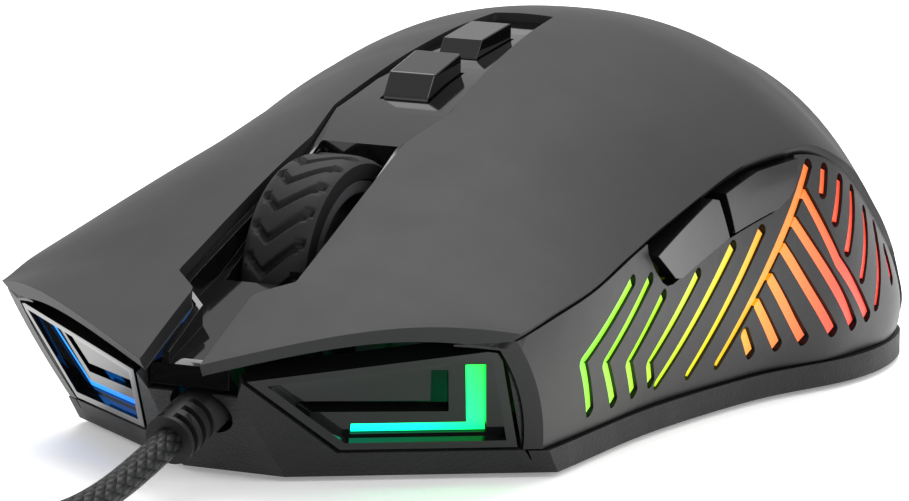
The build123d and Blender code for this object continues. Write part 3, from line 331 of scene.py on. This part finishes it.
def closed_skin(name, sheets, faces, material, joint_y):
    """Closed shell from an outer and an inner sheet, its rims rounded except at the joint."""
    outer, inner = sheets
    count = len(outer)
    vertices = [p * MM for p in outer] + [p * MM for p in inner]
    uses = {}
    for face in faces:
        for a, b in zip(face, face[1:] + face[:1]):
            uses.setdefault(frozenset((a, b)), []).append((a, b))
    rim = [pairs[0] for pairs in uses.values() if len(pairs) == 1]
    walls = [(b, a, a + count, b + count) for a, b in rim]
    back = [tuple(v + count for v in face[::-1]) for face in faces]
    piece = mesh_object(name, vertices, list(faces) + back + walls, material)
    mesh = bmesh.new()
    mesh.from_mesh(piece.data)
    weight = mesh.edges.layers.float.new("bevel_weight_edge")
    mesh.verts.ensure_lookup_table()
    for a, b in rim:
        at_joint = abs(outer[a].y - joint_y) < 1e-4 and abs(outer[b].y - joint_y) < 1e-4
        for pair in ((a, b), (a + count, b + count)):
            edge = mesh.edges.get((mesh.verts[pair[0]], mesh.verts[pair[1]]))
            edge.smooth = False
            edge[weight] = 0.0 if at_joint else 1.0
    bmesh.ops.remove_doubles(mesh, verts=mesh.verts, dist=1e-7)
    bmesh.ops.recalc_face_normals(mesh, faces=mesh.faces)
    mesh.to_mesh(piece.data)
    mesh.free()
    rounding = piece.modifiers.new("edge", "BEVEL")
    rounding.limit_method = "WEIGHT"
    rounding.width = skin_rounding * MM
    rounding.segments = 3
    rounding.use_clamp_overlap = True
    return piece


def grid_faces(rows, columns, keep=lambda row, column: True, flip=False):
    """Quads of a grid of points stored row by row."""
    faces = []
    for row in range(rows - 1):
        for column in range(columns - 1):
            if keep(row, column):
                a = row * columns + column
                quad = (a, a + 1, a + columns + 1, a + columns)
                faces.append(quad[::-1] if flip else quad)
    return faces


# ---------------------------------------------------------------- main keys
# Two moulded keys with a soft-touch coat. Each is the top sheet between the spine and the
# shell's edge, cut by the front plane, and ends at the hinge line, where it joins the palm shell.


def noise(tree, scale, detail=3.0, roughness=0.55):
    node = tree.nodes.new("ShaderNodeTexNoise")
    node.inputs["Scale"].default_value = scale
    node.inputs["Detail"].default_value = detail
    node.inputs["Roughness"].default_value = roughness
    tree.links.new(coordinates(tree), node.inputs["Vector"])
    return node.outputs["Fac"]


def map_range(tree, value, low, high):
    node = tree.nodes.new("ShaderNodeMapRange")
    node.inputs["To Min"].default_value = low
    node.inputs["To Max"].default_value = high
    tree.links.new(value, node.inputs["Value"])
    return node.outputs["Result"]


def grained(name, dark, light, rough, grain_scale, grain_depth, strength=0.35, metallic=0.0, shine=0.5):
    """Moulded surface: slow colour variation, fine grain in bump, roughness that wanders."""
    material, tree, shader = new_material(name)
    slow = noise(tree, 60.0, 2.0)
    tree.links.new(ramp(tree, slow, [(0.3, dark), (0.7, light)]), shader.inputs["Base Color"])
    wander = noise(tree, 180.0, 3.0)
    tree.links.new(map_range(tree, wander, rough[0], rough[1]), shader.inputs["Roughness"])
    bump(tree, shader, noise(tree, grain_scale, 4.0, 0.6), strength, grain_depth)
    shader.inputs["Metallic"].default_value = metallic
    shader.inputs["Specular IOR Level"].default_value = shine
    return material


soft_touch = grained(
    "soft_touch", (0.0105, 0.0105, 0.0112), (0.0125, 0.0125, 0.0132),
    (0.46, 0.56), 5200.0, 0.00003, shine=0.22,
)

across_steps = 36
across = [0.5 - 0.5 * cos(pi * k / across_steps) for k in range(across_steps + 1)]
key_rows = 110


def key_share(y, u):
    inner = spine_half(y) / between(y, 3)
    return inner + (1 - inner) * u


for side, way in (("left", 1), ("right", -1)):
    sheets = []
    for inset in (0.0, shell_wall):
        starts = [front_limit(lambda y, u=u: top_point(y, key_share(y, u), inset)) for u in across]
        sheet = []
        for row in range(key_rows + 1):
            t = row / key_rows
            for u, start in zip(across, starts):
                y = start + (hinge_y - start) * t
                point = top_point(y, key_share(y, u), inset)
                if inset and u == 0.0:
                    point.x = spine_half(y)
                sheet.append(Vector((way * point.x, point.y, point.z)))
        sheets.append(sheet)
    faces = grid_faces(key_rows + 1, len(across), flip=way < 0)
    key = closed_skin(f"{side}_key_skin", sheets, faces, soft_touch, hinge_y)
    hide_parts(f"{side}_key")
    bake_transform(key)

# ---------------------------------------------------------------- palm shell
# One moulded shell with the same soft-touch coat, clipped over the rear of the case. A single
# sheet runs across the top, and near the tail it also covers the side below the edge.
GAP_TAIL = [(48.0, 0.0), (50.0, 0.05), (52.0, 0.22), (54.0, 0.60), (55.5, 0.98), (56.2, 1.0), (63.0, 1.0)]


def side_reach(y):
    for (y0, d0), (y1, d1) in zip(GAP_TAIL, GAP_TAIL[1:]):
        if y <= y1:
            return max(0.0, d0 + (d1 - d0) * (y - y0) / (y1 - y0))
    return 1.0


tail_start_y = 50.0
tail_y = 63.0
back_steps = 60
tail_steps = 44
palm_places = [hinge_y + (tail_start_y - hinge_y) * k / back_steps for k in range(back_steps)]
palm_places += [
    tail_start_y + (tail_y - tail_start_y) * sin(pi / 2 * k / tail_steps) for k in range(tail_steps + 1)
]
spine_rear_y = 15.8
palm_places = sorted(set(palm_places) | {spine_rear_y})
middle_steps = 5
side_steps = 12
half = [("middle", k / middle_steps) for k in range(middle_steps)] + [("top", u) for u in across]
half += [("side", (k + 1) / side_steps) for k in range(side_steps)]
line = [(-1, kind, value) for kind, value in half[:0:-1]] + [(1, kind, value) for kind, value in half]


def palm_point(y, way, kind, value, inset):
    if kind == "middle":
        point = top_point(y, value * spine_half(y) / between(y, 3), inset)
    elif kind == "top":
        point = top_point(y, key_share(y, value), inset)
        if inset and value == 0.0 and y <= spine_rear_y:
            point.x = spine_half(y)
    else:
        point = side_point(y, value * side_reach(y), inset)
    return Vector((way * point.x, point.y, point.z))


sheets = []
for inset in (0.0, shell_wall):
    sheet = []
    for y in palm_places:
        moved = min(y, tail_y - inset)
        sheet += [palm_point(moved, way, kind, value, inset) for way, kind, value in line]
    sheets.append(sheet)
columns = len(line)
middle_column = columns // 2


def palm_keeps(row, column):
    in_notch = palm_places[row] < spine_rear_y - 1e-6
    return not (in_notch and middle_column - middle_steps <= column < middle_column + middle_steps)


faces = grid_faces(len(palm_places), columns, palm_keeps)
last_row = (len(palm_places) - 1) * columns
tail_faces = []
for k in range(columns // 2):
    a, b = last_row + k, last_row + columns - 1 - k
    if b - a > 2:
        tail_faces.append((a, a + 1, b - 1, b))
    elif b - a == 2:
        tail_faces.append((a, a + 1, b))
palm = closed_skin("palm_skin", sheets, faces + tail_faces, soft_touch, hinge_y)
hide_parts("palm_shell")
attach(palm, "housing")


# ---------------------------------------------------------------- refined copies of CAD nodes
# Hard plastic, rubber and steel pieces that keep the shape they were built with. Seams are
# welded, edges rounded and curved faces smooth, and each gets the finish of its own moulding.
satin_panel = grained(
    "satin_panel", (0.003, 0.003, 0.0032), (0.0045, 0.0045, 0.0048),
    (0.36, 0.44), 4200.0, 0.00004, 0.3, shine=0.3,
)
gloss_black = grained(
    "gloss_black", (0.002, 0.002, 0.0022), (0.003, 0.003, 0.0032),
    (0.04, 0.09), 300.0, 0.00001, 0.05, shine=0.38,
)
spark_base = grained(
    "spark_base", (0.004, 0.004, 0.0045), (0.007, 0.007, 0.0075),
    (0.42, 0.62), 2600.0, 0.00022, 0.9, shine=0.25,
)
relief_rubber = grained(
    "relief_rubber", (0.004, 0.004, 0.004), (0.007, 0.007, 0.007),
    (0.45, 0.6), 1800.0, 0.00005, shine=0.2,
)
plain_plastic = grained(
    "plain_plastic", (0.03, 0.03, 0.032),
    (0.05, 0.05, 0.053), (0.45, 0.6), 1500.0, 0.00004,
)
steel = grained(
    "steel", (0.50, 0.50, 0.51), (0.62, 0.62, 0.63),
    (0.22, 0.36), 1400.0, 0.00002, metallic=1.0,
)
weld_distance = 2e-6
flat_angle = radians(0.6)
sharp_angle = radians(32.0)


def refined(node, material, body, edge):
    """Copy of a node with welded seams and rounded edges, standing for it on its body."""
    mesh = bmesh.new()
    mesh.from_mesh(nodes[node].data)
    bmesh.ops.remove_doubles(mesh, verts=mesh.verts, dist=weld_distance)
    bmesh.ops.dissolve_limit(mesh, angle_limit=flat_angle, verts=mesh.verts, edges=mesh.edges)
    data = bpy.data.meshes.new(f"{node}_skin")
    mesh.to_mesh(data)
    mesh.free()
    piece = bpy.data.objects.new(f"{node}_skin", data)
    bpy.context.scene.collection.objects.link(piece)
    data.materials.clear()
    data.materials.append(material)
    data.polygons.foreach_set("use_smooth", [True] * len(data.polygons))
    data.set_sharp_from_angle(angle=sharp_angle)
    rounding = piece.modifiers.new("edge", "BEVEL")
    rounding.limit_method = "ANGLE"
    rounding.angle_limit = sharp_angle
    rounding.width = edge * MM
    rounding.segments = 2
    rounding.use_clamp_overlap = True
    rounding.harden_normals = True
    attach(piece, body)
    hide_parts(node)


for node, material, body, slot, edge in (
    ("side_panel_left", satin_panel, "housing", "side_satin", 0.12),
    ("side_panel_right", satin_panel, "housing", "side_satin", 0.12),
    ("side_button_front", gloss_black, "side_front", "gloss_black", 0.5),
    ("side_button_rear", gloss_black, "side_rear", "gloss_black", 0.5),
    ("spine_cover", gloss_black, "housing", "gloss_black", 0.3),
    ("dpi_button_front", gloss_black, "dpi_front", "gloss_black", 0.35),
    ("dpi_button_rear", gloss_black, "dpi_rear", "gloss_black", 0.35),
    ("front_bezel_left", gloss_black, "housing", "gloss_black", 0.15),
    ("front_bezel_right", gloss_black, "housing", "gloss_black", 0.15),
    ("base_shell", spark_base, "housing", "base_plastic", 0.3),
    ("wheel_hub", plain_plastic, "wheel", "inner_plastic", 0.2),
    ("cord_boot", relief_rubber, "housing", "tyre_rubber", 0.15),
    ("usb_strain_relief", relief_rubber, "housing", "tyre_rubber", 0.2),
    ("usb_grip", relief_rubber, "housing", "grip", 0.4),
    ("usb_shell", steel, "housing", "steel", 0.08),
):
    refined(node, material, body, edge)

# ---------------------------------------------------------------- lamps, boards and small parts
# Pieces inside the case and under it: light guides, boards, switches, screws and skates. They
# keep their shape, and each gets the finish of its material.
nub_plastic = grained("nub_plastic", (0.60, 0.08, 0.05), (0.70, 0.12, 0.08), (0.3, 0.4), 900.0, 0.00002)
solder_mask = grained(
    "solder_mask", (0.008, 0.10, 0.04),
    (0.015, 0.15, 0.06), (0.25, 0.4), 700.0, 0.00003,
)
slick_white = grained(
    "slick_white", (0.72, 0.72, 0.71),
    (0.80, 0.80, 0.79), (0.25, 0.35), 900.0, 0.00002,
)
lamp_body = grained("lamp_body", (0.80, 0.78, 0.68), (0.88, 0.86, 0.76), (0.25, 0.35), 800.0, 0.00002)
tongue_white = grained(
    "tongue_white", (0.68, 0.68, 0.68),
    (0.76, 0.76, 0.76), (0.3, 0.45), 900.0, 0.00002,
)


def glowing(name, axis, low, high, stops, strength):
    """Frosted light guide whose colour runs along one axis of the object."""
    material, tree, shader = new_material(name)
    split = tree.nodes.new("ShaderNodeSeparateXYZ")
    tree.links.new(coordinates(tree), split.inputs["Vector"])
    along = tree.nodes.new("ShaderNodeMapRange")
    along.inputs["From Min"].default_value = low
    along.inputs["From Max"].default_value = high
    tree.links.new(split.outputs[axis], along.inputs["Value"])
    colour = ramp(tree, along.outputs["Result"], stops)
    tint = tree.nodes.new("ShaderNodeMix")
    tint.data_type = "RGBA"
    tint.inputs["Factor"].default_value = 0.25
    tint.inputs["A"].default_value = (0.01, 0.01, 0.01, 1.0)
    tree.links.new(colour, tint.inputs["B"])
    tree.links.new(tint.outputs["Result"], shader.inputs["Base Color"])
    tree.links.new(colour, shader.inputs["Emission Color"])
    patches = map_range(tree, noise(tree, 90.0, 2.0), strength * 0.85, strength * 1.15)
    tree.links.new(patches, shader.inputs["Emission Strength"])
    shader.inputs["Roughness"].default_value = 0.35
    return material


side_front_y = -0.030
side_rear_y = 0.043
SIDE_COLOURS = [
    (0.0, (0.22, 1.0, 0.0)), (0.26, (0.42, 0.95, 0.0)), (0.48, (0.78, 0.62, 0.0)),
    (0.62, (1.0, 0.27, 0.0)), (0.78, (1.0, 0.06, 0.01)), (1.0, (1.0, 0.015, 0.01)),
]
dim_glow = glowing("dim_glow", "Y", side_front_y, side_rear_y, SIDE_COLOURS, 0.04)
left_front_glow = glowing(
    "left_front_glow", "X", 0.012, 0.026,
    [(0.0, (0.0, 1.0, 0.55)), (1.0, (0.0, 1.0, 0.02))], 3.0,
)
right_front_glow = glowing(
    "right_front_glow", "X", -0.026, -0.012,
    [(0.0, (0.02, 0.3, 1.0)), (1.0, (0.0, 0.16, 1.0))], 1.5,
)
clear_lens = glowing(
    "clear_lens", "Z", 0.0, 0.005,
    [(0.0, (0.45, 0.05, 0.04)), (1.0, (0.6, 0.1, 0.08))], 0.05,
)

for node, material in {
    "front_light_guide_left": left_front_glow,
    "front_light_guide_right": right_front_glow,
    "side_diffuser_left": dim_glow,
    "side_diffuser_right": dim_glow,
    "sensor_lens": clear_lens,
    "main_board": solder_mask,
    "side_board": solder_mask,
    "dpi_board": solder_mask,
    "wheel_axle": steel,
    "board_screws": steel,
    "case_screws": steel,
    "light_sources": lamp_body,
    "skate_front": slick_white,
    "skate_rear": slick_white,
    "skate_sensor_ring": slick_white,
    "left_switch_nub": nub_plastic,
    "right_switch_nub": nub_plastic,
    "middle_switch_nub": nub_plastic,
    "inner_lead": relief_rubber,
    "usb_tongue": tongue_white,
}.items():
    nodes[node].data.materials.clear()
    nodes[node].data.materials.append(material)
for node in (
    "wheel_bearing_left", "wheel_bearing_right", "wheel_cradle", "scroll_encoder",
    "left_switch", "right_switch", "middle_switch", "side_switches", "dpi_switches",
    "optical_sensor", "controller_chip", "cable_connector",
):
    nodes[node].data.materials.clear()
    nodes[node].data.materials.append(plain_plastic)

# ---------------------------------------------------------------- lit ribs of the side panels
# Frosted ribs of the light guide. Each fills one slot of the side panel nearly to its face,
# and the colour runs along the mouse from green at the front to red at the rear.
side_glow = glowing("side_glow", "Y", side_front_y, side_rear_y, SIDE_COLOURS, 1.0)
SLOTS = [
    [(-18.9, 19.0), (-30.4, 12.1), (-24.9, 5.9)], [(-13.9, 18.5), (-24.1, 11.0), (-18.4, 5.8)],
    [(-10.0, 16.1), (-17.1, 9.9), (-13.0, 5.9)], [(-1.5, 17.2), (-10.8, 8.8), (-8.9, 6.4)],
    [(6.3, 19.2), (-7.0, 5.9)], [(12.2, 20.2), (0.5, 5.8)], [(21.6, 26.4), (6.8, 6.0)],
    [(11.2, 8.8), (13.6, 6.2)], [(12.7, 12.0), (18.6, 6.4)], [(14.6, 14.6), (23.0, 6.5)],
    [(16.5, 17.8), (27.7, 6.9)], [(18.4, 20.5), (31.7, 7.1)], [(20.5, 23.4), (26.8, 15.0), (35.1, 7.6)],
    [(24.8, 25.6), (23.9, 23.1)], [(28.1, 24.0), (26.1, 19.7)], [(31.2, 22.4), (28.6, 16.0)],
    [(34.6, 19.6), (32.4, 12.4)], [(38.3, 17.4), (37.4, 8.5)], [(41.8, 14.2), (43.2, 10.6)],
]
panel_inset = 0.5
rib_half_width = 0.62
rib_face = 0.28
rib_root = 2.25


def panel_x(y, z):
    """Half width of the panel's outer face at a height."""
    edge_height = between(y, 4) - panel_inset
    down = min(max((edge_height - z) / (edge_height - seam_height), 0.0), 1.0)
    return side_point(y, down, panel_inset).x


for side, way in (("left", 1), ("right", -1)):
    vertices, faces = [], []
    for run in SLOTS:
        line = []
        for (y0, z0), (y1, z1) in zip(run, run[1:]):
            steps = max(2, ceil(hypot(y1 - y0, z1 - z0)))
            line += [(y0 + (y1 - y0) * k / steps, z0 + (z1 - z0) * k / steps) for k in range(steps)]
        line.append(run[-1])
        first = len(vertices)
        for i, (y, z) in enumerate(line):
            ahead, behind = line[min(i + 1, len(line) - 1)], line[max(i - 1, 0)]
            size = hypot(ahead[0] - behind[0], ahead[1] - behind[1])
            along = ((ahead[0] - behind[0]) / size, (ahead[1] - behind[1]) / size)
            for offset, depth in ((1, rib_face), (-1, rib_face), (-1, rib_root), (1, rib_root)):
                py = y - along[1] * offset * rib_half_width
                pz = z + along[0] * offset * rib_half_width
                vertices.append(Vector((way * (panel_x(py, pz) - depth), py, pz)) * MM)
        for i in range(len(line) - 1):
            for j in range(4):
                a, b = first + 4 * i + j, first + 4 * i + (j + 1) % 4
                faces.append((a, b, b + 4, a + 4))
        last = len(vertices) - 4
        faces.append((first + 3, first + 2, first + 1, first))
        faces.append((last, last + 1, last + 2, last + 3))
    ribs = mesh_object(f"slot_ribs_{side}", vertices, faces, side_glow, smooth=False)
    rib_mesh = bmesh.new()
    rib_mesh.from_mesh(ribs.data)
    bmesh.ops.recalc_face_normals(rib_mesh, faces=rib_mesh.faces)
    rib_mesh.to_mesh(ribs.data)
    rib_mesh.free()
    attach(ribs, "housing")

# ---------------------------------------------------------------- wheel tyre
# A crowned rubber ring stretched over the wheel's hub. Chevron grooves are cut in its tread,
# and their points trail round the wheel.
tyre_rubber = grained(
    "tyre_rubber", (0.003, 0.003, 0.003), (0.006, 0.006, 0.006),
    (0.5, 0.68), 2400.0, 0.00005, shine=0.2,
)
tyre_low, tyre_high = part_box("wheel_tyre")
wheel_centre = (tyre_low + tyre_high) / 2
tyre_radius = (tyre_high.y - tyre_low.y) / 2
tyre_half = (tyre_high.x - tyre_low.x) / 2
ring_inner = tyre_radius - 2.4 * MM
crown_drop = 0.75 * MM
groove_depth = 0.75 * MM
groove_half_width = 0.17
chevron_point = 0.36
chevron_trail = 0.34
around_steps = 480
groove_count = 22
profile = [0.0, 0.05, 0.12, 0.2] + [0.2 + 0.6 * k / 24 for k in range(1, 25)] + [0.88, 0.95, 1.0]
vertices, faces = [], []
for k in range(around_steps):
    angle = 2 * pi * k / around_steps
    for p in profile:
        x = -tyre_half + 2 * tyre_half * p
        crown = crown_drop * abs(2 * p - 1) ** 4
        lean = chevron_trail * abs(p - chevron_point) / (1 - chevron_point)
        phase = ((angle - lean) * groove_count / (2 * pi)) % 1.0
        cut = max(0.0, 1 - abs(phase - 0.5) / groove_half_width) ** 0.6
        depth = groove_depth * cut if 0.10 < p < 0.90 else 0.0
        radius = tyre_radius - crown - depth
        vertices.append(wheel_centre + Vector((x, -radius * cos(angle), radius * sin(angle))))
    for x in (tyre_half, -tyre_half):
        vertices.append(wheel_centre + Vector((x, -ring_inner * cos(angle), ring_inner * sin(angle))))
loop_size = len(profile) + 2
for k in range(around_steps):
    n = (k + 1) % around_steps
    for j in range(loop_size):
        m = (j + 1) % loop_size
        faces.append((k * loop_size + j, n * loop_size + j, n * loop_size + m, k * loop_size + m))
tyre = mesh_object("tyre_tread", vertices, faces, tyre_rubber)
tyre_mesh = bmesh.new()
tyre_mesh.from_mesh(tyre.data)
bmesh.ops.recalc_face_normals(tyre_mesh, faces=tyre_mesh.faces)
tyre_mesh.to_mesh(tyre.data)
tyre_mesh.free()
tyre.data.set_sharp_from_angle(angle=radians(40))
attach(tyre, "wheel")
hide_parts("wheel_tyre")

# ---------------------------------------------------------------- studio
# A white desk under a white sky, with a large softbox above and behind the mouse and a
# smaller one on the thumb side.
desk_material, tree, shader = new_material("desk")
shader.inputs["Roughness"].default_value = 0.6
speckle = noise(tree, 3.0, 2.0)
desk_colour = ramp(tree, speckle, [(0.2, (0.90, 0.90, 0.90)), (0.8, (0.95, 0.95, 0.95))])
tree.links.new(desk_colour, shader.inputs["Base Color"])
shader.inputs["Emission Color"].default_value = (1.0, 1.0, 1.0, 1.0)
shader.inputs["Emission Strength"].default_value = 0.25
desk_corners = [(-4, -4, 0), (4, -4, 0), (4, 4, 0), (-4, 4, 0)]
desk = mesh_object("desk", desk_corners, [(0, 1, 2, 3)], desk_material, False)
world = bpy.data.worlds.new("sky")
bpy.context.scene.world = world
world.use_nodes = True
world.node_tree.nodes["Background"].inputs["Color"].default_value = (1.0, 1.0, 1.0, 1.0)
world.node_tree.nodes["Background"].inputs["Strength"].default_value = 1.0
bpy.context.scene.view_settings.view_transform = "Standard"


def softbox(name, place, target, size, power):
    data = bpy.data.lights.new(name, "AREA")
    data.shape = "RECTANGLE"
    data.size, data.size_y = size
    data.energy = power
    lamp = bpy.data.objects.new(name, data)
    bpy.context.scene.collection.objects.link(lamp)
    lamp.location = place
    lamp.rotation_euler = (Vector(target) - Vector(place)).to_track_quat("-Z", "Y").to_euler()


softbox("overhead", (-0.1, 0.25, 0.9), (0, 0, 0.03), (0.9, 0.6), 9.0)
softbox("thumb_side", (0.9, -0.35, 0.5), (0, 0, 0.02), (0.5, 0.6), 5.0)
